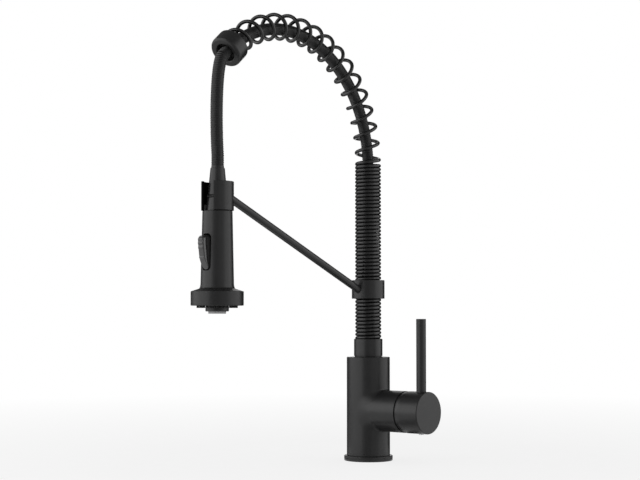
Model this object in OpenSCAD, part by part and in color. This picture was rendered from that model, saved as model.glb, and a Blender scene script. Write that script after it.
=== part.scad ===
// Single-lever kitchen faucet with a spring spout, a pull-down spray head and a docking arm.
// Millimetres, +Z up. The origin is the centre of the base, on the deck plane.
// The spout points towards -Y and the lever hub towards +X.

/* [Overall] */
// Height of the arch's outermost curl above the deck
overall_h = 465.5; // [380:0.5:560]
// Horizontal distance from the column axis to the spray head axis
reach = 232; // [222:1:256]

/* [Base and body] */
// Width of the base flange outside the foot
flange_w = 5.2; // [4.4:0.1:9]
// Height of the base flange
base_h = 5.5; // [4:0.1:9]
// Diameter of the upright body
body_d = 46.7; // [44:0.1:52]
// Height of the top of the body above the deck
body_top = 111.3; // [108:0.1:140]
// Root diameter of the threaded water ports
port_d = 9; // [8:0.1:9.4]

/* [Valve and lever] */
// Height of the boss axis above the deck
boss_z = 54; // [52:0.5:56]
// Distance from the column axis to the lever's pivot
pivot_x = 58; // [55:0.5:70]
// Diameter of the lever hub
hub_d = 44.4; // [42:0.1:54]
// Length of the hub in front of the pivot
hub_len = 23.4; // [21:0.1:32]
// Diameter of the mixing cartridge
cartridge_d = 24.8; // [20:0.1:30]
// Diameter of the lever rod
lever_d = 10.3; // [8:0.1:11]
// Distance from the pivot to the lever rod axis
lever_out = 13.5; // [12.5:0.1:14.5]
// Height of the lever's tip above the deck
lever_top = 152.6; // [120:0.1:180]

/* [Spring and spout] */
// Diameter of the spring wire
wire_d = 3.5; // [2.4:0.1:3.5]
// Pitch of the close curls on the column
close_pitch = 3.95; // [3.9:0.05:6]
// Pitch of the open curls where they leave the column
open_pitch = 17.25; // [12:0.05:22]
// How much wider the curls are spaced at the far end of the arch
pitch_rise = 2.5; // [0:0.1:4]
// Angle of the spring's first ring about the column
spring_phase = 20; // [0:5:360]
// Wall of the sleeve at the foot of the spring
sleeve_wall = 1.05; // [1:0.05:3]
// Length of that sleeve
sleeve_h = 18.6; // [16:0.1:30]
// Angle along the arch from the column to the end collar
arch_sweep = 132; // [125:0.5:137]
// Wall of the end collar
collar_wall = 2.1; // [1:0.05:4]
// Length of the end collar
collar_h = 16.1; // [14:0.1:22]

/* [Hose] */
// Outer diameter of the hose over its ribs
hose_d = 12.4; // [10:0.1:14]
// Bore of the hose
hose_bore = 7; // [5:0.1:8]
// Pitch of the hose ribs
rib_pitch = 1.7; // [1.6:0.05:3]
// Depth of a rib
rib_depth = 0.35; // [0.1:0.05:0.5]

/* [Docking arm] */
// Height of the middle of the clamp ring on the column
clamp_z = 184.5; // [165:0.1:215]
// Height of the clamp ring
clamp_h = 20; // [14:0.1:26]
// Wall of the clamp ring
clamp_wall = 1.9; // [1.7:0.05:5]
// Diameter of the arm rod
arm_d = 8; // [6:0.1:10]
// Height of the dock
dock_h = 28.2; // [24:0.1:30]
// Wall of the dock
dock_wall = 2.5; // [2:0.1:3]

/* [Spray head] */
// Height of the end collar's middle above the top of the hose connector
drop_h = 118.8; // [100:0.1:150]
// Length of the tapered part of the hose connector
neck_h = 41.4; // [38:0.1:44]
// Diameter of the connector's lower end
neck_d2 = 22; // [20:0.1:23]
// Diameter of the spray head's top
head_d = 29.2; // [25:0.1:36]
// How far the spray ring stands out from the head
ring_out = 9.5; // [8:0.1:14]
// Height of the spray ring's straight side
ring_h = 14; // [13:0.1:20]
// Diameter of a spray nozzle's tip
nozzle_d = 1.7; // [1:0.1:2]
// Nozzles in the outer row
nozzle_count = 24; // [12:1:28]
// Width of the spray button
button_w = 8.6; // [8:0.1:11]
// Length of the spray button
button_h = 33.2; // [28:0.1:34]
// Angle that the button stands out at its upper end
button_tilt = 8; // [5:0.5:8]

/* [Hidden] */
$fn = 96;
eps = 0.01;

// Clearances
run_gap = 0.05;   // radial, between parts that turn in each other
seat_gap = 0.1;   // radial, between parts that are fitted together
free_gap = 0.3;   // between moving parts that must not touch
thread_gap = 0.05;

// Base and body
foot_lift = 0.3;          // the body's foot stays clear of the deck
tail_wall = 1.6;          // hose tail's ferrule outside the hose
tail_rim = 2.4;
passage_gap = 0.9;        // between the hose tail and the passage
passage_r = hose_d / 2 + tail_rim + passage_gap;
port_r = port_d / 2;
port_depth = 14;
port_ring_r = passage_r + 1.7 + port_r; // circle of the water ports
inlet_angle = 37.2;       // hot and cold ports on that circle, mirrored in Y
inlet_x = port_ring_r * cos(inlet_angle);
inlet_y = port_ring_r * sin(inlet_angle);
drill_r = 2.6;            // level water drillings
rise_r = 3.3;             // rising drillings above the ports
foot_r = port_ring_r + port_r + 0.8;
base_r = foot_r + flange_w;
gasket_in = 1;            // gasket's groove outside the foot
gasket_h = 1.5;
gasket_w = 2.6;
body_r = body_d / 2;
stud_x = -13;
stud_y = 9;
stud_r = 2.5;
stud_depth = 14;

// Column bearing
bush_w = 2;
bearing_z = body_top - 31.2;
washer_h = 1;
sleeve_z = body_top + washer_h;
lower_bush_h = 6;
upper_bush_h = 9;
upper_bush_z = body_top - 1 - upper_bush_h;
lock_z = bearing_z + 11;  // retaining screw and its groove
lock_groove_h = 5;
lock_r = 2.5;
o_ring_z = (lock_z + lock_groove_h / 2 + upper_bush_z) / 2;
o_ring_w = 2.2;
o_ring_sink = 0.5;
lock_groove_w = 1.4;
spigot_top = sleeve_z + 8.3;

// Riser and spring
riser_wall = 1.45;
riser_bore_r = hose_d / 2 + 1.3;
riser_r = riser_bore_r + riser_wall;
riser_z = sleeve_z - 10;
journal_r = riser_r + 3.05;            // spigot's journal
bearing_r = journal_r + bush_w;
spigot_bore_r = hose_d / 2 + 1.6;
rings_per_curl = 8;
wire_sides = 6;
flat_inner_r = riser_r + 0.8;          // inside the curls' straight chords
spring_r = (flat_inner_r + wire_d / 2) / cos(180 / rings_per_curl); // to the wire's centre
spring_out = spring_r + wire_d / 2;
pocket_r = spring_out + 0.2;
sleeve_r = pocket_r + sleeve_wall;
sleeve_top = sleeve_z + sleeve_h;
pocket_h = 7.3;
seat_z = sleeve_top - pocket_h;        // where the spring stands in the sleeve
drop_out = 15.55;                      // how far the hose swings out below the collar
arch_r = (reach - drop_out) / (1 - cos(arch_sweep));
arch_z = overall_h - spring_out - arch_r;
riser_top = arch_z - 1.7;
guide_h = 7;
guide_rim = 1.2;
guide_bore_r = hose_d / 2 + free_gap;
hose_sag = 3.2;                        // hose's lean to the inside of the arch
hose_tail_top = 30;
hose_end = arch_sweep - seat_gap / 2 / arch_r * 180 / PI; // angle where the arch's hose ends

// End collar, in its own frame: +Z along the spring towards the mouth, +Y outwards
collar_pocket_r = pocket_r + 0.3; // the spring still curves in its pocket
collar_r = collar_pocket_r + collar_wall;
collar_web = 2;           // wall that the spring stops on and the hose passes
collar_pocket = 6.75;     // depth of the spring's pocket
web_z = -collar_h / 2 + collar_pocket;
mouth_r = hose_d / 2 + 3.4;

// Spring length: close curls, open curls and one closing curl
ramp_turns = 0.5;
closing_turns = 1.5;
spring_start = seat_z + wire_d / 2 + 0.05;
spring_end_angle = arch_sweep - (wire_d / 2 - web_z + 0.05) / arch_r * 180 / PI;
spring_len = arch_z - spring_start + arch_r * spring_end_angle * PI / 180;
close_turns = (arch_z - spring_start) / close_pitch;
end_pitch = close_pitch * arch_r / (arch_r - spring_r); // of the closing curl, on the centre line
open_turns = (spring_len - close_pitch * close_turns - end_pitch * closing_turns
    - (close_pitch + pitch_rise - end_pitch) * ramp_turns / 2) / (open_pitch + pitch_rise / 2);
all_turns = close_turns + open_turns + closing_turns;
spring_rings = round(all_turns * rings_per_curl);

// Arm and dock
bush_wall = 1.5;
clamp_r = pocket_r + bush_wall + clamp_wall;
arm_r = arm_d / 2;
arm_peg_r = 2.5;
neck_top = arch_z + arch_r * sin(arch_sweep) - drop_h;
neck_r1 = hose_d / 2 + 0.8;
neck_r2 = neck_d2 / 2;
dock_in_r = neck_r2 + 2.35;
dock_r = dock_in_r + dock_wall;
dock_z = neck_top - 27.4;                    // middle of the dock
dock_z0 = dock_z - dock_h / 2;
dock_open = asin((hose_d / 2 + 0.68) / dock_in_r); // half of its open angle
arm_foot = [clamp_r, clamp_z];               // distance along the spout and height
arm_head = [reach - dock_r, dock_z - 0.2];
arm_len = norm(arm_head - arm_foot);
arm_angle = atan2(arm_head[0] - arm_foot[0], arm_head[1] - arm_foot[1]);
seat_h = 5;

// Spray head heights
neck_z = neck_top - neck_h;             // foot of the taper
head_top = neck_z - 0.5;
head_wall = 4;                          // top wall of the shell
head_r1 = head_d / 2;
head_r2 = head_r1 + 1.55;               // above the flare
shell_r = head_r1 - 2.4;                // inside radius of the shell
ring_top = head_top - 75.1;             // where the shell stands on the spray ring
rim_z = ring_top - 2.4;                 // foot of the ring's sloping top
ring_z = rim_z - ring_h;
ring_r = head_r2 + ring_out;
flare_r = head_r2 + 1.7;
flare_h = 5.6;
flange_r = shell_r - 2.4;
swivel_r = flange_r - 1.8;              // connector's journal in the shell
flange_h = 3.2;
flange_z = head_top - head_wall - flange_h - 0.1;
tip_r = swivel_r - 2;
tip_z = flange_z - 4;
water_r = 3.2;                          // water passage
clip_z = dock_z - 0.4;                  // clip that holds the hose in the connector
clip_x = 4.6;
clip_r = 0.8;
clip_back = 5;                          // how far its legs reach behind the connector's axis
seal_h = 1;
waterway_top = flange_z - seal_h - 0.05;
spool_r = 3;
spool_drop = 9;                         // spool below the button's pivot
spool_nose = 1.6;
screen_h = 1;
aerator_r = shell_r - 0.85;
housing_wall = 2.65;
insert_r = aerator_r - housing_wall - 0.1;
face_h = 3;
face_lift = 0.6;
mat_h = 1.2;
nozzle_drop = 2.2;                      // nozzle tips below the ring
nozzle_ring_r = ring_r - 6.6;
nozzle_row = 3.4;

// Button, in the frame of its pivot
slot_r = 4;
slot_gap = 1.3;                         // at each side of the button
slot_end = 1.25;                        // at each end of the button
pivot_z = head_top - 40.05;
pivot_y = reach + shell_r;
button_out = 6.8;                       // button's face, outside the pivot
button_in = 2.3;                        // button's back, outside the pivot
pin_r = 0.9;
pin_len = button_w + 2 * slot_gap + 2;

// Lever hub and cartridge, along the boss axis
hub_r = hub_d / 2;
lever_x = pivot_x + lever_out;
boss_r = hub_r - 0.1;
boss_end = pivot_x - 7;
cup_r = hub_r + 0.4;                    // ball-shaped cup in the boss mouth
hub_wall = 2.5;
hub_skirt = 9;                          // hub's ball-shaped skirt, behind the pivot
cartridge_r = cartridge_d / 2;
cartridge_x = pivot_x - 32;
cartridge_end = pivot_x + 4;
base_wall = 4;                          // cartridge's base
disc_h = 3;
seal_r = 0.9;
seal_in_r = 2.2;
seal_out_r = seal_in_r + 2;
port_seat_r = cartridge_r - 4.8;        // circle of the ports in the cartridge's seat
inlet_seat_angle = 62;
inlet_drop = port_seat_r * cos(inlet_seat_angle);
inlet_side = port_seat_r * sin(inlet_seat_angle);
nut_x = cartridge_x + 7;
nut_h = 8;
nut_r = cartridge_r + 3;
carrier_r = cartridge_r - 2.4;
carrier_x = cartridge_x + base_wall + 2 * disc_h + 0.3;
carrier_end = pivot_x + 2.5;
stem_w = 7;
stem_end = pivot_x + 17.6;
hub_boss_r = 8;
hub_boss_x = carrier_end + 5.5;
stem_pin_r = 1.5;
lever_foot = boss_z + stem_w / 2 + 1.2;

// Helpers

// Points of an arc, anticlockwise from a0 to a1
function arc(cx, cy, r, a0, a1, n = 4) =
    [for (i = [0:n]) [cx + r * cos(a0 + (a1 - a0) * i / n), cy + r * sin(a0 + (a1 - a0) * i / n)]];

// Ring about Z with rounded outer edges
module rounded_ring(r_in, r_out, z0, z1, f0 = 0, f1 = 0) {
    low = f0 > 0 ? arc(r_out - f0, z0 + f0, f0, -90, 0) : [[r_out, z0]];
    high = f1 > 0 ? arc(r_out - f1, z1 - f1, f1, 0, 90) : [[r_out, z1]];
    rotate_extrude() polygon(concat([[r_in, z0]], low, high, [[r_in, z1]]));
}

// Plain ring about Z
module ring(r_in, r_out, z0, z1) {
    rounded_ring(r_in, r_out, z0, z1);
}

// Cylinder between two heights
module post(r, z0, z1) {
    translate([0, 0, z0]) cylinder(r = r, h = z1 - z0);
}

// Turns +Z to +X and moves to the boss axis
module on_boss() {
    translate([0, 0, boss_z]) rotate([0, 90, 0]) children();
}

// Moves to a distance along the spout
module at_spout(s) {
    translate([0, -s, 0]) children();
}

// Places children on the arch, +Z along it and +Y outwards
module on_arch(angle) {
    translate([0, -arch_r, arch_z]) rotate([angle, 0, 0]) translate([0, arch_r, 0]) children();
}

// Places children on the arm's axis, with +Z from the clamp to the dock
module on_arm() {
    translate([0, -arm_foot[0], arm_foot[1]]) rotate([arm_angle, 0, 0]) children();
}

// Wedge about Z that opens a clip towards -Y
module front_wedge(half_angle, z0, z1) {
    far = 40;
    side = far * tan(half_angle);
    translate([0, 0, z0]) linear_extrude(z1 - z0) polygon([[0, 0], [-side, -far], [side, -far]]);
}

// Unit vector
function unit(v) = v / norm(v);

// Triangles between two closed rings of n points that start at index a and b
function skin(a, b, n) =
    [for (i = [0:n - 1]) let (j = (i + 1) % n) each [[a + i, b + j, a + j], [a + i, b + i, b + j]]];

// Solid tube along rings of n points, with flat ends
function rod_faces(count, n) = concat(
    [for (k = [0:count - 2]) each skin(k * n, (k + 1) * n, n)],
    [for (i = [1:n - 2]) [0, i, i + 1]],
    [for (i = [1:n - 2]) let (b = (count - 1) * n) [b, b + i + 1, b + i]]);

// Faces of a tube with a bore: outer rings first, then inner rings, n points in each
function pipe_faces(outer, inner, n) = let (first = outer * n, last = first + (inner - 1) * n) concat(
    [for (k = [0:outer - 2]) each skin(k * n, (k + 1) * n, n)],
    [for (k = [0:inner - 2]) each skin(first + (k + 1) * n, first + k * n, n)],
    skin(first, 0, n),
    skin((outer - 1) * n, last, n));

// Point of the arch at an angle along it, with its direction and the direction outwards
function arch_point(a, r) = [0, -arch_r + r * cos(a), arch_z + r * sin(a)];
function arch_dir(a) = [0, -sin(a), cos(a)];
function out_dir(a) = [0, cos(a), sin(a)];

// Turns of the spring up to ring k, and how far along the spout n turns reach
function ramp(t) = t <= 0 ? 0 : t < ramp_turns ? t * t / (2 * ramp_turns) : t - ramp_turns / 2;
function turns(k) = all_turns * k / spring_rings;
function rise(t) = t <= 0 ? 0 : t < open_turns ? pitch_rise * t * t / (2 * open_turns)
    : pitch_rise * (t - open_turns / 2);
function run(n) = close_pitch * n + rise(n - close_turns)
    + (open_pitch - close_pitch) * ramp(n - close_turns)
    - (open_pitch + pitch_rise - end_pitch) * ramp(n - close_turns - open_turns);

// Angle along the arch at a run of the spring, 0 on the column
function arch_angle(len) = max(0, (len - (arch_z - spring_start)) / arch_r * 180 / PI);

// Centre of the wire at ring k
function wire_point(k) =
    let (n = turns(k), len = run(n), a = arch_angle(len), phase = spring_phase + 360 * n,
        z = min(spring_start + len, arch_z),
        centre = a > 0 ? arch_point(a, arch_r) : [0, 0, z])
    centre + spring_r * (cos(phase) * [1, 0, 0] + sin(phase) * out_dir(a));

// Middle of the curl at ring k
function curl_centre(k) =
    let (len = run(turns(k)), a = arch_angle(len))
    a > 0 ? arch_point(a, arch_r) : [0, 0, spring_start + len];

// Direction of the wire at ring k, along its first and last chords at the ends
function wire_dir(k) =
    unit(wire_point(min(k + 1, spring_rings)) - wire_point(max(k - 1, 0)));

function wire_ring(k) =
    let (c = wire_point(k), t = wire_dir(k), e = c - curl_centre(k),
        u = unit(e - (e * t) * t), v = cross(t, u))
    [for (i = [0:wire_sides - 1]) let (b = 360 * i / wire_sides)
        c + wire_d / 2 * (cos(b) * u + sin(b) * v)];

// Smallest gap of the spring to itself, from the wire's centre points one curl apart
function nearest_turn(k) = min([for (j = [k + rings_per_curl - 2:k + rings_per_curl + 2])
    if (j <= spring_rings) norm(wire_point(j) - wire_point(k))]);
spring_gap = min([for (k = [0:spring_rings - rings_per_curl]) nearest_turn(k)]) - wire_d;
echo(spring_gap = spring_gap);

// Route of the hose below the collar: straight, one smooth bend, straight, in the plane of the spout
drop_start = arch_point(arch_sweep, arch_r);
drop_dir = arch_dir(arch_sweep);
drop_end = [0, -reach, neck_top];
bend_pull = 11.5;          // how far each end holds its direction
bend_rise = 37.1;
bend_bow = 3.1;
bend_p0 = drop_start + hose_d * drop_dir;
bend_p3 = drop_end + [0, 0, hose_d];
bend_p1 = bend_p0 + bend_pull * drop_dir;
bend_p2 = bend_p3 + [0, -bend_bow, bend_rise];
function bend_point(t) = pow(1 - t, 3) * bend_p0 + 3 * pow(1 - t, 2) * t * bend_p1
    + 3 * (1 - t) * t * t * bend_p2 + pow(t, 3) * bend_p3;
function bend_tangent(t) = unit(pow(1 - t, 2) * (bend_p1 - bend_p0) + 2 * (1 - t) * t * (bend_p2 - bend_p1)
    + t * t * (bend_p3 - bend_p2));
bend_steps = 24;
bend_len = [for (i = 0, s = 0; i <= bend_steps; i = i + 1,
    s = s + norm(bend_point(i / bend_steps) - bend_point((i - 1) / bend_steps))) s];
bend_total = bend_len[bend_steps];
drop_len = 2 * hose_d + bend_total;

// Point and direction at a length along the drop
function drop_point(s) = s <= hose_d ? drop_start + s * drop_dir
    : s >= hose_d + bend_total ? drop_end + [0, 0, drop_len - s]
    : bend_point(lookup(s - hose_d, [for (i = [0:bend_steps]) [bend_len[i], i / bend_steps]]));
function drop_tangent(s) = s <= hose_d ? drop_dir
    : s >= hose_d + bend_total ? [0, 0, -1]
    : bend_tangent(lookup(s - hose_d, [for (i = [0:bend_steps]) [bend_len[i], i / bend_steps]]));

// Ring of n points about a point of a path in the plane of the spout
function path_ring(c, t, r, n) =
    [for (i = [0:n - 1]) let (b = 360 * i / n)
        c + r * (cos(b) * [1, 0, 0] + sin(b) * cross(t, [1, 0, 0]))];

// Centre line of the hose inside the arch: it lies a little towards the inside of the bend
function hose_arch_r(a) = arch_r - hose_sag * pow(sin(180 * a / arch_sweep), 2);

// Base

module base_gasket() {
    color("black") ring(foot_r + gasket_in, foot_r + gasket_in + gasket_w, 0, gasket_h);
}

module base_ring() {
    color("dimgray") difference() {
        rounded_ring(foot_r + seat_gap, base_r, 0, base_h, 0.4, 0.8);
        ring(foot_r + gasket_in, foot_r + gasket_in + gasket_w, -1, gasket_h);
    }
}

// Body with its boss, hose passage, spout bearing, water drillings and cartridge bore
module body_casting() {
    color("dimgray") difference() {
        union() {
            post(foot_r, foot_lift, base_h + 1);
            rounded_ring(0, body_r, base_h, body_top, 0.3, 0.6);
            on_boss() post(boss_r, 0, boss_end);
        }
        post(passage_r, -1, bearing_z + 1);
        post(bearing_r, bearing_z, body_top + 1);
        cartridge_cavity();
        for (side = [-1, 1]) water_port(inlet_x, side * inlet_y, boss_z - inlet_drop, side * inlet_side);
        water_port(port_ring_r, 0, boss_z + port_seat_r, 0);
        for (side = [-1, 1]) translate([stud_x, side * stud_y, 0]) post(stud_r, -1, stud_depth);
        translate([0, 0, lock_z]) rotate([-90, 0, 0]) post(lock_r + thread_gap, 0, body_r + 1);
    }
}

module cartridge_cavity() {
    translate([pivot_x, 0, boss_z]) sphere(r = cup_r, $fn = 128);
    on_boss() post(cartridge_r + seat_gap, cartridge_x, boss_end + 1);
    on_boss() post(nut_r + thread_gap, nut_x, boss_end + 1);
}

// Threaded port in the foot, a rising drilling and a level drilling to the cartridge seat
module water_port(x, y, z_top, y_seat) {
    translate([x, y, 0]) post(port_r, -1, foot_lift + port_depth);
    translate([x, y, 0]) post(rise_r, 0, z_top + drill_r);
    translate([x, y_seat, z_top]) rotate([0, 90, 0]) post(drill_r, 0, cartridge_x - x + 1);
}

module slip_washer() {
    color("ivory") ring(journal_r + run_gap, sleeve_r - 0.7, body_top, sleeve_z);
}

module lower_bushing() {
    color("ivory") ring(journal_r + run_gap, bearing_r - eps, bearing_z, bearing_z + lower_bush_h);
}

module upper_bushing() {
    color("ivory") ring(journal_r + run_gap, bearing_r - eps, upper_bush_z, upper_bush_z + upper_bush_h);
}

// Hollow spigot that the spout turns on
module swivel_spigot() {
    color("goldenrod") difference() {
        post(journal_r, bearing_z + 0.5, spigot_top);
        post(spigot_bore_r, 0, spigot_top + 1);
        post(riser_r + seat_gap, riser_z, spigot_top + 1);
        spigot_groove(lock_z, lock_groove_h, lock_groove_w);
        spigot_groove(o_ring_z, o_ring_w + 0.2, o_ring_sink);
    }
}

// Groove round the spigot's journal, about a height
module spigot_groove(z, h, depth) {
    ring(journal_r - depth, journal_r + 1, z - h / 2, z + h / 2);
}

module swivel_o_ring() {
    color("black") translate([0, 0, o_ring_z]) rotate_extrude()
        translate([journal_r - o_ring_sink + o_ring_w / 2 + eps, 0]) circle(r = o_ring_w / 2, $fn = 24);
}

// Grub screw in the back of the body, its dog point in the spigot's groove
module retaining_screw() {
    dog_end = journal_r - lock_groove_w + free_gap;
    color("gray") translate([0, 0, lock_z]) rotate([-90, 0, 0]) difference() {
        union() {
            post(lock_r, bearing_r + 0.5, body_r - 0.6);
            post(lock_r - 0.6, dog_end, bearing_r + 0.6);
        }
        translate([0, 0, body_r - 2.8]) cylinder(r = 1.4, h = 3, $fn = 6);
    }
}

// Spout column

module spring_sleeve() {
    color("dimgray") {
        difference() {
            rounded_ring(riser_r + seat_gap, sleeve_r, sleeve_z, sleeve_top, 0.3, 0.5);
            post(journal_r + thread_gap, sleeve_z - 1, spigot_top);
            post(pocket_r, seat_z, sleeve_top + 1);
        }
        spring_stop(spring_phase, seat_z, -1, pocket_r);
    }
}

// Stop that the wire's end butts on, square to its last chord
module spring_stop(angle, z, side, r) {
    depth = 3.6;
    intersection() {
        translate([0, 0, z]) rotate([0, 0, angle]) translate([spring_r, 0, 0])
            rotate([0, 0, -side * 180 / rings_per_curl])
            translate([-wire_d / 2, side * (eps + depth / 2) - depth / 2, 0])
            cube([wire_d + 1, depth, wire_d]);
        ring(spring_r - wire_d / 2, r + eps, z, z + wire_d);
    }
}

module riser_tube() {
    color("dimgray") ring(riser_bore_r, riser_r, riser_z + eps, riser_top);
}

// Nylon guide that keeps the hose in the middle of the riser
module riser_guide() {
    color("black") {
        ring(guide_bore_r, riser_bore_r - eps, riser_top - guide_h, riser_top + eps);
        ring(guide_bore_r, riser_r, riser_top + eps, riser_top + guide_rim);
    }
}

module spring_coil() {
    color("dimgray") polyhedron(
        [for (k = [0:spring_rings]) each wire_ring(k)],
        rod_faces(spring_rings + 1, wire_sides), convexity = 20);
}

// Docking arm

module arm_clamp() {
    half = clamp_h / 2;
    color("dimgray") difference() {
        rounded_ring(pocket_r + bush_wall + eps, clamp_r, clamp_z - half, clamp_z + half, 0.4, 0.4);
        on_arm() post(arm_peg_r + thread_gap, -6, 4);
        translate([0, 0, clamp_z]) rotate([-90, 0, 0]) post(2 + thread_gap, 0, clamp_r + 1);
    }
}

// Nylon bush between the clamp ring and the spring
module clamp_bushing() {
    color("black") difference() {
        ring(pocket_r, pocket_r + bush_wall, clamp_z - clamp_h / 2 + 0.6, clamp_z + clamp_h / 2 - 0.6);
        translate([0, -clamp_r / 2, clamp_z]) cube([2, clamp_r, clamp_h], center = true);
    }
}

module clamp_screw() {
    color("gray") translate([0, 0, clamp_z]) rotate([-90, 0, 0]) difference() {
        post(2, pocket_r + bush_wall + 0.05, clamp_r - 0.2);
        translate([0, 0, clamp_r - 1.4]) cylinder(r = 1.15, h = 2, $fn = 6);
    }
}

// Rod between the clamp and the dock, with a peg in the wall of each
module support_arm() {
    color("dimgray") {
        difference() {
            on_arm() post(arm_r, -5, arm_len + 5);
            post(clamp_r + eps, clamp_z - clamp_h, clamp_z + clamp_h);
            at_spout(reach) post(dock_r + eps, dock_z0 - 5, dock_z + dock_h);
        }
        difference() {
            on_arm() post(arm_peg_r, -5, arm_len + 5);
            post(pocket_r + bush_wall + 0.2, clamp_z - clamp_h, clamp_z + clamp_h);
            at_spout(reach) post(dock_in_r + 0.1, dock_z0 - 5, dock_z + dock_h);
        }
    }
}

// Radius of the hose connector's taper at a height
function neck_r(z) = neck_r1 + (neck_r2 - neck_r1) * (neck_top - z) / neck_h;

module dock_clip() {
    color("dimgray") difference() {
        at_spout(reach) difference() {
            rounded_ring(dock_in_r, dock_r, dock_z0, dock_z0 + dock_h, 0.4, 0.4);
            front_wedge(dock_open, dock_z0 - 1, dock_z0 + dock_h + 1);
        }
        on_arm() post(arm_peg_r + thread_gap, arm_len - 6, arm_len + 6);
    }
}

// Tapered nylon seat that the connector is drawn up into
module dock_seat() {
    z0 = dock_z0 + 0.4;
    outer = dock_in_r - 0.05;
    color("black") at_spout(reach) difference() {
        rotate_extrude() polygon([[neck_r(z0) + free_gap, z0], [outer, z0], [outer, z0 + seat_h],
            [neck_r(z0 + seat_h) + free_gap, z0 + seat_h]]);
        front_wedge(dock_open + 2, z0 - 1, z0 + seat_h + 1);
    }
}

// Spout end and hose

module end_collar() {
    top_angle = spring_phase + 360 * all_turns;
    half = collar_h / 2;
    mouth_z = web_z + collar_web;
    mouth_edge = 1.8;
    color("dimgray") on_arch(arch_sweep) {
        difference() {
            rounded_ring(guide_bore_r, collar_r, -half, half, 1.2, 3);
            post(collar_pocket_r, -half - 1, web_z);
            rotate_extrude() polygon(concat([[guide_bore_r - 1, mouth_z], [mouth_r, mouth_z]],
                arc(mouth_r + mouth_edge, half - mouth_edge, mouth_edge, 180, 90),
                [[mouth_r + mouth_edge, half + 1], [guide_bore_r - 1, half + 1]]));
        }
        mirror([0, 0, 1]) spring_stop(top_angle, -web_z, 1, collar_pocket_r);
    }
}

// Hose from its tail in the base up the column and round the arch, smooth where the spring covers it
module hose_arch() {
    sides = 12;
    steps = 12;
    radii = [hose_d / 2, hose_bore / 2];
    route = concat([[[0, 0, hose_tail_top], [0, 0, 1]]], [for (i = [0:steps])
        let (a = hose_end * i / steps) [arch_point(a, hose_arch_r(a)), arch_dir(a)]]);
    color("black") polyhedron(
        [for (r = radii) each [for (p = route) each path_ring(p[0], p[1], r, sides)]],
        pipe_faces(len(route), len(route), sides), convexity = 8);
}

// Crimped ferrule and nipple on the lower end of the hose, inside the foot
module hose_tail() {
    bore = hose_bore / 2;
    nipple = bore + 1.5;
    nipple_z = 3;
    rim = hose_d / 2 + tail_rim;
    rim_low = 12;
    rim_high = 17;
    ferrule = hose_d / 2 + tail_wall;
    color("goldenrod") rotate_extrude() polygon([[bore, nipple_z], [nipple, nipple_z], [nipple, rim_low],
        [rim, rim_low], [rim, rim_high], [ferrule, rim_high + 1], [ferrule, hose_tail_top],
        [bore, hose_tail_top]]);
}

// Ribbed hose from the collar to the spray head
module hose_drop() {
    sides = 8;
    ribs = round(drop_len / rib_pitch);
    bore_steps = 12;
    outer = [for (k = [0:2 * ribs]) let (s = drop_len * k / (2 * ribs))
        path_ring(drop_point(s), drop_tangent(s), hose_d / 2 - (k % 2 == 0 ? rib_depth : 0), sides)];
    inner = [for (k = [0:bore_steps]) let (s = drop_len * k / bore_steps)
        path_ring(drop_point(s), drop_tangent(s), hose_bore / 2, sides)];
    color("black") polyhedron(
        concat([for (r = outer) each r], [for (r = inner) each r]),
        pipe_faces(len(outer), len(inner), sides), convexity = 8);
}

// Tapered connector with the journal that the spray head turns on
module hose_neck() {
    slot = [2 * (clip_x + clip_r + 0.2), 7.7, 3.4];
    slot_depth = 2.7;
    color("dimgray") at_spout(reach) difference() {
        rotate_extrude() polygon(concat([[water_r, tip_z], [tip_r, tip_z], [tip_r, flange_z],
            [flange_r, flange_z], [flange_r, flange_z + flange_h], [swivel_r, flange_z + flange_h],
            [swivel_r, neck_z], [neck_r2, neck_z]], arc(neck_r1 - 0.5, neck_top - 0.5, 0.5, 0, 90),
            [[water_r, neck_top]]));
        translate([-slot[0] / 2, slot_depth - neck_r(clip_z) - slot[1], clip_z - slot[2] / 2]) cube(slot);
        for (side = [-1, 1]) translate([side * clip_x, 0, clip_z]) rotate([90, 0, 0])
            post(clip_r + seat_gap, -clip_back - 0.5, neck_r(clip_z));
    }
}

// U-shaped wire clip in the connector's front slot
module hose_clip() {
    bar_y = neck_r(clip_z) - 1.6;
    bar_r = clip_r - 0.05;
    color("silver") at_spout(reach) {
        for (side = [-1, 1]) translate([side * clip_x, 0, clip_z]) rotate([90, 0, 0])
            post(clip_r, -clip_back, bar_y + clip_r);
        translate([0, -bar_y, clip_z]) rotate([0, 90, 0]) post(bar_r, -clip_x, clip_x);
    }
}

module neck_seal() {
    color("black") at_spout(reach)
        ring(tip_r + run_gap, flange_r - 0.6, waterway_top, waterway_top + seal_h);
}

// Spray head

// Outline of the shell from its top edge down to the spray ring
function head_side() = concat(arc(head_r1 - 0.6, head_top - 0.6, 0.6, 90, 0, 3),
    [for (i = [0:5]) let (b = 90 * i / 5) [head_r2 + (flare_r - head_r2) * (1 - cos(b)),
        ring_top + flare_h * (1 - sin(b))]]);

module spray_shell() {
    mouth = swivel_r + 0.08;
    ceiling = head_top - head_wall;
    color("dimgray") at_spout(reach) difference() {
        rotate_extrude() polygon(concat([[mouth, head_top]], head_side(),
            [[shell_r, ring_top], [shell_r, ceiling], [mouth, ceiling]]));
        button_slot();
        translate([0, -shell_r, pivot_z]) rotate([0, 90, 0])
            post(pin_r + 0.03, -pin_len / 2 - 0.1, pin_len / 2 + 0.1);
    }
}

// Round-ended window for the button, through the shell's front
module button_slot() {
    half_w = button_w / 2 + slot_gap;
    half_h = button_h / 2 + slot_end;
    translate([0, -8, pivot_z]) rotate([90, 0, 0]) linear_extrude(20) round_rect(half_w, half_h, slot_r);
}

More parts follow.
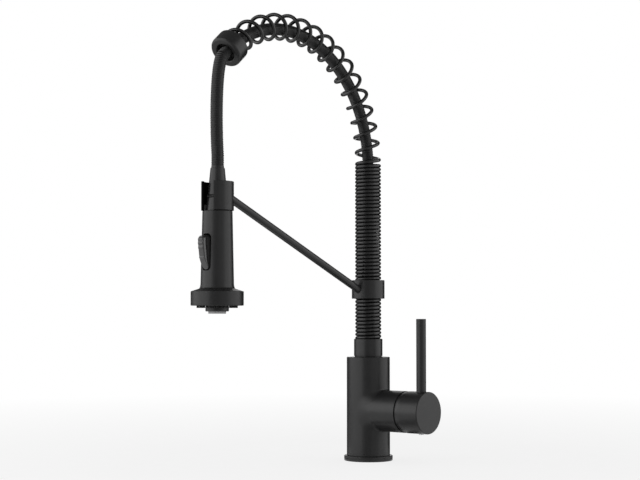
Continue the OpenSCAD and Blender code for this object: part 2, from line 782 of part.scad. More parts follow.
// Rectangle with rounded corners, given its half width, half height and corner radius
module round_rect(half_w, half_h, r) {
    polygon(concat(arc(half_w - r, half_h - r, r, 0, 90, 6), arc(r - half_w, half_h - r, r, 90, 180, 6),
        arc(r - half_w, r - half_h, r, 180, 270, 6), arc(half_w - r, r - half_h, r, 270, 360, 6)));
}

// Water body inside the shell, threaded into it at the foot
module spray_waterway() {
    color("goldenrod") at_spout(reach) difference() {
        union() {
            ring(aerator_r + thread_gap, shell_r - seat_gap, ring_top - 11, ring_top + 1);
            ring(water_r + 1, shell_r - seat_gap, ring_top + 1, ring_top + 10);
            ring(water_r + 1, 7, ring_top + 9, waterway_top - 12);
            ring(water_r + 1, flange_r - 0.6, waterway_top - 12.5, waterway_top);
        }
        post(tip_r + run_gap, tip_z - 0.3, waterway_top + 1);
        translate([0, 0, pivot_z - spool_drop]) rotate([90, 0, 0]) post(spool_r + run_gap, -5, 8);
    }
}

// Ring round the spray face, with a sloping top
module spray_ring() {
    r = ring_r;
    edge = 0.7;
    wall = 2.2;
    throat = shell_r - seat_gap + 0.15;
    under = ring_top - 6;
    color("dimgray") at_spout(reach) rotate_extrude() polygon(concat([[r - wall, ring_z]],
        arc(r - edge, ring_z + edge, edge, -90, 0), arc(r - edge, rim_z - edge, edge, 0, 70),
        [[flare_r - 0.2, ring_top], [throat, ring_top], [throat, under], [r - wall, under]]));
}

// Positions of the nozzles: two rows about the aerator
function nozzle_spots() = concat(
    [for (i = [0:nozzle_count - 1]) let (b = 360 * i / nozzle_count) nozzle_ring_r * [cos(b), sin(b)]],
    [for (i = [0:nozzle_count - 1]) let (b = 360 * (i + 0.5) / nozzle_count)
        (nozzle_ring_r - nozzle_row) * [cos(b), sin(b)]]);

module spray_face() {
    z0 = ring_z + face_lift;
    color("gray") at_spout(reach) difference() {
        ring(aerator_r + seat_gap, ring_r - 2.3, z0, z0 + face_h);
        for (p = nozzle_spots()) translate([p[0], p[1], 0])
            post(nozzle_d / 2 + 0.15, z0 - 1, z0 + face_h + 1);
    }
}

// Rubber mat whose tips stand out through the spray face
module nozzle_mat() {
    z0 = ring_z + face_lift + face_h;
    tip = ring_z - nozzle_drop;
    color("dimgray") at_spout(reach) difference() {
        union() {
            ring(shell_r + 0.6, ring_r - 2.4, z0, z0 + mat_h);
            for (p = nozzle_spots()) translate([p[0], p[1], 0]) post(nozzle_d / 2, tip, z0 + 0.1);
        }
        for (p = nozzle_spots()) translate([p[0], p[1], 0]) post(0.35, tip - 1, z0 + mat_h + 1);
    }
}

module aerator_housing() {
    r = aerator_r;
    z0 = ring_z - 5.6;
    color("gray") at_spout(reach) rotate_extrude() polygon([[r - housing_wall, z0 + 0.3], [r - 0.6, z0],
        [r, z0 + 0.6], [r, ring_top + 0.9], [r - housing_wall, ring_top + 0.9]]);
}

// Aerator insert with its honeycomb outlet
module aerator_insert() {
    z0 = ring_z - 7.8;
    cell = 2.9;
    color("silver") at_spout(reach) difference() {
        rounded_ring(0, insert_r, z0, ring_z + 1, 0.5, 0);
        for (row = [-2:2], col = [-2:2])
            let (x = cell * (col + (abs(row) % 2) / 2), y = cell * row * sqrt(3) / 2)
            if (norm([x, y]) < insert_r - 1.6) translate([x, y, z0 - 1])
                cylinder(r = 1.25, h = 20, $fn = 6);
    }
}

module aerator_screen() {
    color("silver") at_spout(reach) ring(1, insert_r, ring_z + 1, ring_z + 1 + screen_h);
}

module check_valve() {
    z0 = ring_z + 1 + screen_h;
    color("ivory") at_spout(reach) difference() {
        post(insert_r, z0, z0 + 6);
        for (i = [0:5]) rotate([0, 0, 60 * i]) translate([5, 0, 0]) post(1, z0 - 1, z0 + 7);
    }
}

// Rocker button: its face is outlined in its own frame, then tipped out at the top
module diverter_button() {
    half_w = button_w / 2;
    half_h = button_h / 2;
    crown = 1.2;
    color("gray") at_spout(pivot_y) translate([0, 0, pivot_z]) rotate([button_tilt, 0, 0]) difference() {
        union() {
            intersection() {
                rotate([90, 0, 0]) linear_extrude(button_out) round_rect(half_w, half_h, 3.6);
                translate([-half_w, 0, 0]) rotate([90, 0, 90]) linear_extrude(button_w)
                    button_side(half_h, crown);
            }
            for (z = [4.4, 7.5, 10.6]) button_rib(z, half_w - 1.2);
            button_rib(-4.2, half_w - 0.6);
            rotate([0, 90, 0]) post(1.9, -half_w, half_w);
            translate([-half_w, -button_in - 0.5, -1.9]) cube([button_w, button_in + 0.5, 3.8]);
        }
        rotate([0, 90, 0]) post(pin_r + run_gap, -half_w - 1, half_w + 1);
    }
}

// Side outline of the button: a shallow crowned face and a flat back
module button_side(half_h, crown) {
    polygon(concat([[-button_in, -half_h], [-button_in, half_h]],
        [for (i = [0:10]) let (u = 1 - i / 5) [-button_out + crown * pow(u, 4), half_h * u]]));
}

module button_rib(z, half_w) {
    translate([0, -button_out + 0.15, z]) rotate([0, 90, 0]) post(0.45, -half_w, half_w);
}

module button_pin() {
    color("silver") at_spout(pivot_y) translate([0, 0, pivot_z]) rotate([0, 90, 0])
        post(pin_r, -pin_len / 2, pin_len / 2);
}

// Spool that the button's lower end lets out to change the spray
module diverter_spool() {
    back = button_in * cos(button_tilt) - spool_drop * sin(button_tilt);
    tip = shell_r + back - free_gap;
    color("ivory") at_spout(reach) translate([0, 0, pivot_z - spool_drop]) rotate([90, 0, 0]) {
        post(spool_r, -2, tip - spool_nose);
        post(spool_r - 1.8, tip - spool_nose - 0.1, tip);
    }
}

// Cartridge and lever

// Places children at the three water ports of the cartridge seat
module at_ports() {
    for (p = [[-port_seat_r, 0], [inlet_drop, inlet_side], [inlet_drop, -inlet_side]])
        translate([p[0], p[1], 0]) children();
}

module cartridge_housing() {
    color("ivory") on_boss() difference() {
        post(cartridge_r, cartridge_x, cartridge_end);
        post(cartridge_r - 2, cartridge_x + base_wall, cartridge_end + 1);
        at_ports() post(seal_in_r, cartridge_x - 1, cartridge_x + base_wall + 1);
        at_ports() ring(seal_in_r, seal_out_r, cartridge_x - 1, cartridge_x + 2 * seal_r);
    }
}

module port_seals() {
    color("black") on_boss() at_ports() translate([0, 0, cartridge_x + seal_r]) rotate_extrude()
        translate([(seal_in_r + seal_out_r) / 2, 0]) circle(r = seal_r - 0.02, $fn = 24);
}

module fixed_disc() {
    x0 = cartridge_x + base_wall;
    color("white") on_boss() difference() {
        post(cartridge_r - 2.1, x0, x0 + disc_h);
        at_ports() post(seal_in_r, x0 - 1, x0 + disc_h + 1);
    }
}

module moving_disc() {
    x0 = cartridge_x + base_wall + disc_h;
    color("white") on_boss() difference() {
        post(carrier_r, x0 + 0.05, x0 + disc_h + 0.25);
        translate([-1, 0, 0]) post(5.5, x0 - 1, x0 + 1.6);
    }
}

// Turret that turns in the cartridge and carries the stem on its pin
module stem_carrier() {
    slot_w = stem_w + 0.4;
    color("ivory") on_boss() difference() {
        post(carrier_r, carrier_x, carrier_end);
        translate([-carrier_r - 1, -slot_w / 2, carrier_x + 2])
            cube([2 * carrier_r + 2, slot_w, carrier_end]);
        translate([0, 0, pivot_x]) rotate([90, 0, 0]) post(stem_pin_r, -carrier_r, carrier_r);
    }
}

module stem_pin() {
    half = carrier_r - 0.6;
    color("silver") translate([pivot_x, 0, boss_z]) rotate([90, 0, 0]) post(stem_pin_r - eps, -half, half);
}

// Square stem with a round eye on its pin
module cartridge_stem() {
    half = stem_w / 2;
    color("goldenrod") translate([pivot_x, 0, boss_z]) difference() {
        union() {
            translate([-14, -half, -half]) cube([14, stem_w, stem_w]);
            translate([0, -half, -half]) cube([stem_end - pivot_x, stem_w, stem_w]);
        }
        rotate([90, 0, 0]) post(stem_pin_r + run_gap, -half - 1, half + 1);
    }
}

module bonnet_nut() {
    color("goldenrod") on_boss() difference() {
        post(nut_r, nut_x, nut_x + nut_h);
        post(cartridge_r + thread_gap, nut_x - 1, nut_x + nut_h + 1);
        for (i = [0:3]) rotate([0, 0, 90 * i]) translate([nut_r - 1.3, -1.5, nut_x + nut_h - 2])
            cube([3, 3, 3]);
    }
}

// Hub: a cup with a ball-shaped skirt that turns and tips in the boss mouth
module handle_hub() {
    inner_end = hub_len - 3;
    edge = 1;
    skirt = [for (i = [0:8]) let (b = asin(hub_skirt / hub_r) * (1 - i / 8))
        [hub_r * cos(b), -hub_r * sin(b)]];
    inside = [for (i = [0:8]) let (b = asin(hub_skirt / (hub_r - hub_wall)) * i / 8)
        [(hub_r - hub_wall) * cos(b), -(hub_r - hub_wall) * sin(b)]];
    outline = concat(skirt, arc(hub_r - edge, hub_len - edge, edge, 0, 90), [[0, hub_len],
        [0, inner_end], [hub_r - hub_wall, inner_end]], inside);
    color("dimgray") difference() {
        translate([pivot_x, 0, boss_z]) rotate([0, 90, 0]) union() {
            rotate_extrude() polygon(outline);
            post(hub_boss_r, hub_boss_x - pivot_x, inner_end + 1);
        }
        translate([0, -stem_w / 2 - seat_gap, boss_z - stem_w / 2 - seat_gap])
            cube([stem_end + seat_gap, stem_w + 2 * seat_gap, stem_w + 2 * seat_gap]);
        translate([lever_x, 0, 0]) post(lever_d / 2 + 0.6, boss_z + hub_r - 1.4, boss_z + hub_r + 1);
        translate([lever_x, 0, 0]) post(lever_d / 2 + thread_gap, lever_foot, boss_z + hub_r + 1);
        translate([lever_x, 0, 0]) post(lever_d / 2 - 1.6, boss_z, lever_foot + 1);
        translate([lever_x, 0, 0]) post(2.5 + thread_gap, boss_z - hub_r - 1, boss_z);
    }
}

// Round lever rod, threaded into the hub
module handle_lever() {
    r = lever_d / 2;
    color("dimgray") translate([lever_x, 0, 0]) rounded_ring(0, r, lever_foot + 0.05, lever_top, 0.3, 0.5);
}

// Screw in the underside of the hub that holds it on the stem
module hub_screw() {
    color("gray") translate([lever_x, 0, 0]) difference() {
        post(2.5, boss_z - hub_r - 0.7, boss_z - stem_w / 2 - 0.15);
        translate([0, 0, boss_z - hub_r - 1]) cylinder(r = 1.4, h = 2.4, $fn = 6);
    }
}

base_gasket();
base_ring();
body_casting();
slip_washer();
lower_bushing();
upper_bushing();
swivel_spigot();
swivel_o_ring();
retaining_screw();
spring_sleeve();
riser_tube();
riser_guide();
spring_coil();
arm_clamp();
clamp_bushing();
clamp_screw();
support_arm();
dock_clip();
dock_seat();
end_collar();
hose_arch();
hose_tail();
hose_drop();
hose_neck();
hose_clip();
neck_seal();
spray_shell();
spray_waterway();
spray_ring();
spray_face();
nozzle_mat();
aerator_housing();
aerator_insert();
aerator_screen();
check_valve();
diverter_button();
button_pin();
diverter_spool();
cartridge_housing();
port_seals();
fixed_disc();
moving_disc();
stem_carrier();
stem_pin();
cartridge_stem();
bonnet_nut();
handle_hub();
handle_lever();
hub_screw();
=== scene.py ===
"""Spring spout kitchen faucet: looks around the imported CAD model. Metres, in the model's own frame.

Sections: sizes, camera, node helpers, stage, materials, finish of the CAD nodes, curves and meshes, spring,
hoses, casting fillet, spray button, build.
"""

import math

import bpy
import numpy as np
from mathutils import Matrix, Vector


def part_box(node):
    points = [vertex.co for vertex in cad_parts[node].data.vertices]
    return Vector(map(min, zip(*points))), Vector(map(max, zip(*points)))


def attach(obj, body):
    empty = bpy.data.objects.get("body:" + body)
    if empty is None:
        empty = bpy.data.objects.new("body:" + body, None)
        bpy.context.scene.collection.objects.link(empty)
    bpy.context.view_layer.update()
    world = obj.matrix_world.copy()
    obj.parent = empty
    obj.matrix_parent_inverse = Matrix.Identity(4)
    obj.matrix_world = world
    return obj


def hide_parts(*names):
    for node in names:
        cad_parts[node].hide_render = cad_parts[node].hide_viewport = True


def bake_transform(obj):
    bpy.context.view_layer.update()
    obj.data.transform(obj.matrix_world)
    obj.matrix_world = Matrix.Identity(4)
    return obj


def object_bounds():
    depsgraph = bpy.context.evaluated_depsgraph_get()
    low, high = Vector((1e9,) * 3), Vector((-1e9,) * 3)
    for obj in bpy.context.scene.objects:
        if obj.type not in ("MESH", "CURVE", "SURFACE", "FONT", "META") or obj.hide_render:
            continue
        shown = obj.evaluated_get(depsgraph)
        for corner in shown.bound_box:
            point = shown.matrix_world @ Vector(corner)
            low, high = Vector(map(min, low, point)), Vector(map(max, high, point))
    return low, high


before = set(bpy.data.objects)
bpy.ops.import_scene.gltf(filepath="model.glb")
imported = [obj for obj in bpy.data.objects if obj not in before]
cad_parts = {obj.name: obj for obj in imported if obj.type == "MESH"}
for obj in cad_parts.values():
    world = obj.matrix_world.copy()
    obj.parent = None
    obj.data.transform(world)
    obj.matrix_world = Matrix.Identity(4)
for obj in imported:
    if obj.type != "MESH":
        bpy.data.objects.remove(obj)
cad_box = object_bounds()

# ---------------------------------------------------------------- sizes, as in the CAD source

MM = 0.001
REACH = 232 * MM           # from the column's axis to the spray head's
ARCH_SWEEP = math.radians(132)
TOP_ROOM = 1.7 * MM        # from the riser's top to the foot of the arch

WIRE_D = 3.85 * MM         # wire as it shows, with its coating
FRAME_WIRE_D = 3.5 * MM    # wire of the frame's own coil
COIL_ROOM = 1.25 * MM      # sleeve's wall and the room between it and the coil
SPRING_PHASE = math.radians(20)
CLOSE_PITCH = 3.95 * MM    # on the column
OPEN_PITCH = 17.25 * MM    # in the arch
PITCH_RISE = 2.5 * MM      # how much wider the curls stand at the far end of the arch
RAMP_TURNS = 0.5           # turns in which the pitch changes
CLOSING_TURNS = 1.5        # close turns in the collar
COLLAR_WEB = 1.3 * MM      # from the collar's middle back to the spring's stop
TOUCH_GAP = 0.05 * MM

HOSE_D = 12.4 * MM
HOSE_SAG = 3.5 * MM        # hose's lean to the inside of the arch
RIB_PITCH = 1.7 * MM
RIB_DEPTH = 0.5 * MM
DROP_H = 118.8 * MM        # from the collar down to the connector
DROP_OUT = 15.55 * MM      # how far the hose swings out below the collar

SPRING_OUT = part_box("spring_sleeve")[1].x - COIL_ROOM   # outside of the coil
SPRING_R = SPRING_OUT - WIRE_D / 2                      # to the centre of the wire
SPRING_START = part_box("spring_coil")[0].z + FRAME_WIRE_D / 2
ARCH_R = (REACH - DROP_OUT) / (1 - math.cos(ARCH_SWEEP))
ARCH_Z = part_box("riser_tube")[1].z + TOP_ROOM
HOSE_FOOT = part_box("hose_arch")[0].z
DROP_TOP = Vector((0, -ARCH_R + ARCH_R * math.cos(ARCH_SWEEP), ARCH_Z + ARCH_R * math.sin(ARCH_SWEEP)))
DROP_DIR = Vector((0, -math.sin(ARCH_SWEEP), math.cos(ARCH_SWEEP)))
DROP_FOOT = Vector((0, -REACH, DROP_TOP.z - DROP_H))

# ---------------------------------------------------------------- camera

FRAME_W = 640              # the photograph's frame, in pixels
SENSOR = 36.0              # mm
FOCAL_PX = 1434.1
SHIFT_PX = 11.0            # how far the picture is shifted down
CLIP = (0.02, 60)
CAMERA_AT = Vector((0.98049, -1.21550, 0.15711))
CAMERA_LOOK = Vector((-0.65298, 0.75608, 0.04435))
CAMERA_AZ = math.atan2(CAMERA_AT.x, -CAMERA_AT.y)


def make_camera():
    data = bpy.data.cameras.new("camera")
    data.sensor_width = SENSOR
    data.lens = FOCAL_PX * SENSOR / FRAME_W
    data.shift_y = SHIFT_PX / FRAME_W
    data.clip_start, data.clip_end = CLIP
    camera = bpy.data.objects.new("camera", data)
    camera.location = CAMERA_AT
    camera.rotation_euler = CAMERA_LOOK.to_track_quat("-Z", "Y").to_euler()
    bpy.context.collection.objects.link(camera)
    bpy.context.scene.camera = camera
    bpy.context.scene.view_settings.view_transform = "Standard"


# ---------------------------------------------------------------- node helpers


class Shader:
    """A node tree, written one call a node. Inputs go by name or number, and take a value or a link."""

    def __init__(self, tree):
        self.tree = tree
        tree.nodes.clear()

    def node(self, kind, values=None, **settings):
        made = self.tree.nodes.new(kind)
        for name, value in settings.items():
            setattr(made, name, value)
        for name, value in (values or {}).items():
            if isinstance(value, bpy.types.NodeSocket):
                self.tree.links.new(value, made.inputs[name])
            else:
                made.inputs[name].default_value = value
        return made

    def place(self):
        return self.node("ShaderNodeTexCoord").outputs["Object"]

    def noise(self, place, scale, detail=3.0):
        values = {"Vector": place, "Scale": scale, "Detail": detail}
        return self.node("ShaderNodeTexNoise", values).outputs["Fac"]

    def spread(self, factor, low, high, start=0.3, end=0.7):
        """The factor's range, which for noise is mostly 0.3 to 0.7, spread from low to high."""
        values = {"Value": factor, "From Min": start, "From Max": end, "To Min": low, "To Max": high}
        return self.node("ShaderNodeMapRange", values).outputs["Result"]

    def blend(self, factor, dark, light):
        values = {"Factor": factor, 6: (*dark, 1), 7: (*light, 1)}
        return self.node("ShaderNodeMix", values, data_type="RGBA").outputs[2]

    def maximum(self, one, other):
        return self.node("ShaderNodeMath", {0: one, 1: other}, operation="MAXIMUM").outputs[0]

    def length(self, vector):
        return self.node("ShaderNodeVectorMath", {0: vector}, operation="LENGTH").outputs["Value"]

    def either(self, factor, at_0, at_1):
        """The first shader where the factor is 0 and the second where it's 1."""
        return self.node("ShaderNodeMixShader", {"Fac": factor, 1: at_0, 2: at_1}).outputs[0]

    def surface(self, shader, kind="ShaderNodeOutputMaterial"):
        self.node(kind, {"Surface": shader})


def shader_of(name):
    made = bpy.data.materials.new(name)
    made.use_nodes = True
    return made, Shader(made.node_tree)


# ---------------------------------------------------------------- stage

WHITE = (1, 1, 1, 1)
AMBIENT = 0.5
FLOOR_R = 8.0
FLOOR_SIDES = 96
FLOOR_BELOW = 0.0002       # the floor lies this far under the object
FLOOR_FADE = (0.25, 1.3)   # from here to there the floor turns into plain white
FLOOR_SHADE = 0.20         # share of the lit floor near the object
FLOOR_GRAIN = 40.0
FLOOR_TONE = (0.78, 0.82)

# Softboxes: turn from the camera in degrees, width and height, and radiance
SOFTBOXES = {"left": (-68, 3.9, 2.2, 0.8), "right": (88, 3.2, 2.2, 0.48)}
SOFTBOX_AWAY = 2.5
SOFTBOX_FOOT = 0.02        # height of their lower edge

# Cards: from and to, in degrees from the camera, and how bright they are
CARDS = {"front": (-30, 14, 0.31), "front_right": (12, 50, 0.55), "rear_left": (-168, -120, 0.1),
         "rear_right": (122, 168, 0.0)}
CARD_AWAY = 3.0
CARD_H = 5.0
CARD_STEPS = 12
CARD_LIFT = 0.0005         # from the object's foot up to a card on the floor
CARD_GAP = 0.0002          # between one card on the floor and the next above it
CARD_FOOT = 0.035          # cards run in over the floor to this distance
DARK_FLOOR = 0.05          # and a black one lies all round to this one
DARK_STEPS = 48
FLOOR_CARD = (-128, -88, 0.12, 1.2, 0.4)   # from, to, nearest, farthest and tone of a card on the floor
LID_AT = 2.6               # height of the ceiling card
LID_TONE = 0.2
CLOTH_GRAIN = 60.0
CLOTH_SPREAD = 0.05        # how uneven a card's tone is, each way


def around(turn, away, height):
    """A place at an angle from the camera's own direction, seen from above; minus is to the left."""
    a = CAMERA_AZ + turn
    return Vector((math.sin(a) * away, -math.cos(a) * away, height))


def seen_directly(s):
    """1 for camera, glossy and transmission rays."""
    path = s.node("ShaderNodeLightPath").outputs
    return s.maximum(s.maximum(path["Is Camera Ray"], path["Is Glossy Ray"]), path["Is Transmission Ray"])


def make_world():
    """Plain white to look at, and dimmer as a light."""
    world = bpy.data.worlds.new("studio")
    world.use_nodes = True
    bpy.context.scene.world = world
    s = Shader(world.node_tree)
    light = s.node("ShaderNodeBackground", {"Color": WHITE, "Strength": AMBIENT}).outputs[0]
    white = s.node("ShaderNodeBackground", {"Color": WHITE, "Strength": 1.0}).outputs[0]
    s.surface(s.either(seen_directly(s), light, white), "ShaderNodeOutputWorld")


def floor_material():
    """A pale floor that fades into white away from the object and is clear from below."""
    made, s = shader_of("pale_floor")
    place = s.place()
    fade = s.spread(s.length(place), FLOOR_SHADE, 0.0, *FLOOR_FADE)
    grain = s.spread(s.noise(place, FLOOR_GRAIN), *FLOOR_TONE)
    lit = s.node("ShaderNodeBsdfDiffuse", {"Color": grain}).outputs[0]
    white = s.node("ShaderNodeEmission", {"Color": WHITE, "Strength": 1.0}).outputs[0]
    above = s.either(seen_directly(s), lit, s.either(fade, white, lit))
    clear = s.node("ShaderNodeBsdfTransparent").outputs[0]
    s.surface(s.either(s.node("ShaderNodeNewGeometry").outputs["Backfacing"], above, clear))
    return made


def make_floor():
    turns = [2 * math.pi * i / FLOOR_SIDES for i in range(FLOOR_SIDES)]
    mesh = bpy.data.meshes.new("floor")
    mesh.from_pydata([(FLOOR_R * math.cos(t), FLOOR_R * math.sin(t), 0) for t in turns], [],
                     [list(range(FLOOR_SIDES))])
    mesh.materials.append(floor_material())
    floor = bpy.data.objects.new("floor", mesh)
    floor.location.z = cad_box[0].z - FLOOR_BELOW
    bpy.context.collection.objects.link(floor)


def make_softboxes():
    for side, (turn, width, height, radiance) in SOFTBOXES.items():
        light = bpy.data.lights.new("softbox_" + side, "AREA")
        light.shape = "RECTANGLE"
        light.size, light.size_y = width, height
        light.energy = radiance * math.pi * width * height
        box = bpy.data.objects.new("softbox_" + side, light)
        box.location = around(math.radians(turn), SOFTBOX_AWAY, height / 2 + SOFTBOX_FOOT)
        aim = Vector((0, 0, box.location.z)) - box.location
        box.rotation_euler = aim.to_track_quat("-Z", "Y").to_euler()
        bpy.context.collection.objects.link(box)


def card_material(name, tone):
    made, s = shader_of(name)
    low, high = tone * (1 - CLOTH_SPREAD), tone * (1 + CLOTH_SPREAD)
    cloth = s.spread(s.noise(s.place(), CLOTH_GRAIN), low, high)
    s.surface(s.node("ShaderNodeEmission", {"Strength": cloth}).outputs[0])
    return made


def hang(name, points, faces, tone):
    """A grey or black card that only glossy reflections see."""
    mesh = bpy.data.meshes.new(name)
    mesh.from_pydata(points, [], faces)
    mesh.materials.append(card_material(name + "_cloth", tone))
    card = bpy.data.objects.new(name, mesh)
    card.visible_camera = False
    card.visible_diffuse = False
    card.visible_shadow = False
    card.visible_transmission = False
    bpy.context.collection.objects.link(card)


def card_turns(start, end):
    return [math.radians(start + (end - start) * i / CARD_STEPS) for i in range(CARD_STEPS + 1)]


def make_cards():
    """Cards in front, at the back corners and above keep the paint dark between its highlights."""
    low = cad_box[0].z + CARD_LIFT
    for side, (start, end, tone) in CARDS.items():
        points = [tuple(around(t, away, z)) for t in card_turns(start, end)
                  for away, z in ((CARD_FOOT, low), (CARD_AWAY, low), (CARD_AWAY, CARD_H))]
        faces = [[3 * i + k, 3 * i + 3 + k, 3 * i + 4 + k, 3 * i + 1 + k]
                 for i in range(CARD_STEPS) for k in (0, 1)]
        hang("card_" + side, points, faces, tone)

    start, end, near, far, tone = FLOOR_CARD
    points = [tuple(around(t, away, low + CARD_GAP)) for t in card_turns(start, end) for away in (near, far)]
    faces = [[2 * i, 2 * i + 2, 2 * i + 3, 2 * i + 1] for i in range(CARD_STEPS)]
    hang("card_left_floor", points, faces, tone)

    corners = ((-1, -1), (1, -1), (1, 1), (-1, 1))
    hang("card_above", [(CARD_AWAY * x, CARD_AWAY * y, LID_AT) for x, y in corners], [[0, 1, 2, 3]], LID_TONE)

    turns = [2 * math.pi * i / DARK_STEPS for i in range(DARK_STEPS)]
    points = [(r * math.cos(t), r * math.sin(t), low - CARD_GAP)
              for t in turns for r in (CARD_FOOT, DARK_FLOOR)]
    count = 2 * DARK_STEPS
    faces = [[i, i + 1, (i + 3) % count, (i + 2) % count] for i in range(0, count, 2)]
    hang("card_floor", points, faces, 0.0)


# ---------------------------------------------------------------- materials

CLOUD_SCALE = 55.0         # slow changes of colour
CLOUD_DETAIL = 4.0
SKIN_DETAIL = 2.0
WAVE_SHARE = 1 / 5         # scale of the surface's waves against its grain
GLOSS_SPREAD = (-0.02, 0.03)
SKIN_DEPTH = 0.00008       # of the grain, at full strength
WAVE_DEPTH = 0.00015
WAVE_BUMP = 0.6            # the waves' strength against the grain's

# The record's slots. Each coat: name, darkest and lightest colour, roughness, grain, bump, specular, metallic
COATS = {
    "matte_black": ("satin_black_coat", (0.0135, 0.0135, 0.0139), (0.017, 0.017, 0.0175),
                    0.33, 1500.0, 0.15, 0.42),
    "matte_black_plastic": ("black_moulding", (0.0135, 0.0135, 0.0139), (0.017, 0.017, 0.0175),
                            0.36, 2100.0, 0.15, 0.4),
    "hose_black": ("black_hose_skin", (0.009, 0.009, 0.0094), (0.013, 0.013, 0.0134),
                   0.32, 1800.0, 0.15, 0.5),
    "button_grey": ("grey_button", (0.022, 0.0225, 0.023), (0.030, 0.0305, 0.031),
                    0.17, 2200.0, 0.1, 0.8),
    "aerator_grey": ("grey_insert", (0.44, 0.44, 0.446), (0.5, 0.5, 0.506),
                     0.45, 2200.0, 0.3, 0.35),
    "rubber_black": ("black_rubber", (0.011, 0.011, 0.011), (0.016, 0.016, 0.016),
                     0.62, 1600.0, 0.5, 0.25),
    "brass": ("machined_brass", (0.66, 0.47, 0.2), (0.76, 0.57, 0.28),
              0.28, 2600.0, 0.2, 0.5, 1.0),
    "steel": ("bright_steel", (0.52, 0.52, 0.53), (0.62, 0.62, 0.63),
              0.26, 2600.0, 0.2, 0.5, 1.0),
    "nylon": ("natural_acetal", (0.74, 0.72, 0.64), (0.82, 0.8, 0.73),
              0.45, 1900.0, 0.3, 0.4),
    "ceramic": ("lapped_ceramic", (0.82, 0.82, 0.8), (0.88, 0.88, 0.87),
                0.2, 2600.0, 0.15, 0.5),
}
WIRE_COAT = ("black_coated_wire", (0.005, 0.005, 0.0052), (0.008, 0.008, 0.0082),
             0.22, 1500.0, 0.1, 0.62)


def paint(s, dark, light, roughness, grain, bump, specular, metallic=0.0):
    """A moulded, cast or painted surface: a cloudy colour, uneven gloss, a fine skin and slow waves."""
    place = s.place()
    skin = s.noise(place, grain, SKIN_DETAIL)
    wave = s.noise(place, grain * WAVE_SHARE, SKIN_DETAIL)
    colour = s.blend(s.spread(s.noise(place, CLOUD_SCALE, CLOUD_DETAIL), 0, 1), dark, light)
    gloss = s.spread(wave, roughness + GLOSS_SPREAD[0], roughness + GLOSS_SPREAD[1])
    fine = s.node("ShaderNodeBump", {"Height": skin, "Strength": bump, "Distance": SKIN_DEPTH})
    broad = s.node("ShaderNodeBump", {"Height": wave, "Strength": bump * WAVE_BUMP, "Distance": WAVE_DEPTH,
                                      "Normal": fine.outputs[0]})
    return s.node("ShaderNodeBsdfPrincipled", {
        "Base Color": colour, "Roughness": gloss, "Metallic": metallic,
        "Specular IOR Level": specular, "Normal": broad.outputs[0]}).outputs[0]


def coated(name, *look):
    made, s = shader_of(name)
    s.surface(paint(s, *look))
    return made


FINISH = {slot: coated(*coat) for slot, coat in COATS.items()}

# ---------------------------------------------------------------- finish of the CAD nodes

DOCK_SHADE_INSET = 0.45 * MM      # the dock's painted shade starts this far inside its outer face
# near black painted as shade inside the dock
INSIDE_SHADE_COLOUR = (0.004, 0.004, 0.0042, 1)


def coat_with_painted_shade_inside(name, radius):
    """Black coat outside a radius about the spray head's axis, and a dull near black inside it: painted shade
    for the dock's hollow.
    """
    made, s = shader_of(name)
    values = {0: s.place(), 1: (1, 1, 0), 2: (0, REACH, 0)}
    flat = s.node("ShaderNodeVectorMath", values, operation="MULTIPLY_ADD").outputs[0]
    outside = s.node("ShaderNodeMath", {0: s.length(flat), 1: radius}, operation="GREATER_THAN").outputs[0]
    # painted shade: a dull near black diffuse inside the dock's radius
    painted_shade = s.node("ShaderNodeBsdfDiffuse", {"Color": INSIDE_SHADE_COLOUR}).outputs[0]
    s.surface(s.either(outside, painted_shade, paint(s, *COATS["matte_black"][1:])))
    return made


def finish_nodes():
    """Every CAD node's slots take the finish named by the record's own slot; the dock's then take a black
    coat with painted shade inside.
    """
    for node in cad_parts.values():
        for place in node.material_slots:
            place.material = FINISH[place.material.name.split(".")[0]]
    dock_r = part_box("dock_clip")[1].x
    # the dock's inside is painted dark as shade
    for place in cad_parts["dock_clip"].material_slots:
        place.material = coat_with_painted_shade_inside("dock_coat_painted_shade_inside", dock_r - DOCK_SHADE_INSET)


# ---------------------------------------------------------------- curves and meshes


def loft(name, rings, slot, body, round_again=False):
    """A mesh through rings of equal count, with closed ends, or with the last ring joined to the first."""
    count, sides = len(rings), len(rings[0])
    faces = []
    for k in range(count if round_again else count - 1):
        n = (k + 1) % count
        for i in range(sides):
            j = (i + 1) % sides
            faces.append([k * sides + i, k * sides + j, n * sides + j, n * sides + i])
    if not round_again:
        faces.append(list(range(sides))[::-1])
        faces.append([(count - 1) * sides + i for i in range(sides)])
    mesh = bpy.data.meshes.new(name)
    mesh.from_pydata(np.concatenate(rings).tolist(), [], faces)
    mesh.validate()
    mesh.shade_smooth()
    mesh.materials.append(FINISH[slot])
    piece = bpy.data.objects.new(name, mesh)
    bpy.context.collection.objects.link(piece)
    if body:
        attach(piece, body)
    return piece


def circle(centre, u, v, r, sides):
    turn = 2 * math.pi * np.arange(sides) / sides
    return (np.array(centre)[None, :] + r * (np.cos(turn)[:, None] * np.array(u)[None, :]
                                             + np.sin(turn)[:, None] * np.array(v)[None, :]))


def bezier(p0, p1, p2, p3, t):
    return (1 - t) ** 3 * p0 + 3 * (1 - t) ** 2 * t * p1 + 3 * (1 - t) * t * t * p2 + t ** 3 * p3


def arch_point(a, r):
    """A place in the arch's plane, at an angle from its foot and a distance from its centre."""
    return Vector((0, -ARCH_R + r * math.cos(a), ARCH_Z + r * math.sin(a)))


# ---------------------------------------------------------------- spring

RINGS_PER_TURN = 36
WIRE_SIDES = 16
END_ROUND = (0.72, 0.9, 0.98)   # radius of the cut end's last rings


